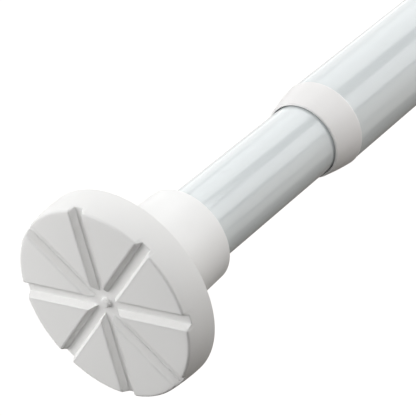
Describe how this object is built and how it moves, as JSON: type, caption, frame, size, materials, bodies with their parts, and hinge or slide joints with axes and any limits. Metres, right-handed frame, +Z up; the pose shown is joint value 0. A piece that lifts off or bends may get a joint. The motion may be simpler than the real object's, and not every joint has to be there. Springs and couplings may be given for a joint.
{
  "type": "spring tension rod",
  "caption": "Telescopic rod that holds itself between two walls by spring pressure, with grooved round grip feet, a mouth collar and an inner twist lock.",
  "frame": {"origin": "on the rod's axis, in the middle of its length as stored", "axes": "+X along the rod from the slim tube's foot towards the wide tube's foot, +Z up with the rod level"},
  "size_m": [0.43, 0.0334, 0.0334],
  "materials": {
    "grip_elastomer": "white moulded elastomer with a fine matte texture",
    "cap_plastic": "white moulded plastic, satin",
    "collar_plastic": "slightly warm white moulded plastic, satin",
    "tube_enamel": "pale cool grey enamel on steel tube, glossy",
    "lock_plastic": "natural nylon",
    "shoe_plastic": "dark grey nylon",
    "ring_rubber": "black rubber",
    "spring_steel": "bare spring steel wire",
    "zinc_steel": "bright zinc plate"
  },
  "bodies": {
    "outer_half": {"outer_tube": "tube_enamel", "mouth_collar": "collar_plastic", "far_foot_cap": "cap_plastic", "far_grip_pad": "grip_elastomer"},
    "shoe_unit": {"brake_shoe": "shoe_plastic", "shoe_ring": "ring_rubber"},
    "cone_unit": {"lock_cone": "lock_plastic", "cone_nut": "zinc_steel"},
    "spindle_unit": {"spindle": "lock_plastic", "threaded_screw": "zinc_steel", "thrust_washer": "zinc_steel", "screw_clip": "spring_steel", "spring_seat_washer": "zinc_steel"},
    "inner_half": {"inner_tube": "tube_enamel", "near_foot_cap": "cap_plastic", "near_grip_pad": "grip_elastomer", "spring_stop": "lock_plastic", "tail_guide": "lock_plastic", "compression_spring": "spring_steel"}
  },
  "joints": [
    {"name": "telescope", "type": "slide", "parent": "outer_half", "child": "shoe_unit", "axis": [-1, 0, 0], "range_m": [-0.018, 0.17]},
    {"name": "twist_lock", "type": "hinge", "parent": "shoe_unit", "child": "spindle_unit", "pos_m": [0.145, 0, 0], "axis": [-1, 0, 0], "range_deg": [0, 720]},
    {"name": "cone_travel", "type": "slide", "parent": "shoe_unit", "child": "cone_unit", "axis": [1, 0, 0], "range_m": [0, 0.00165]},
    {"name": "spring_stroke", "type": "slide", "parent": "spindle_unit", "child": "inner_half", "axis": [1, 0, 0], "range_m": [0, 0.012], "stiffness_N_per_m": 2700, "springref_m": -0.015, "deforming": ["compression_spring"]}
  ],
  "couplings": [
    {"joint": "cone_travel", "follows": "twist_lock", "m_per_rad": 0.00012732}
  ]
}
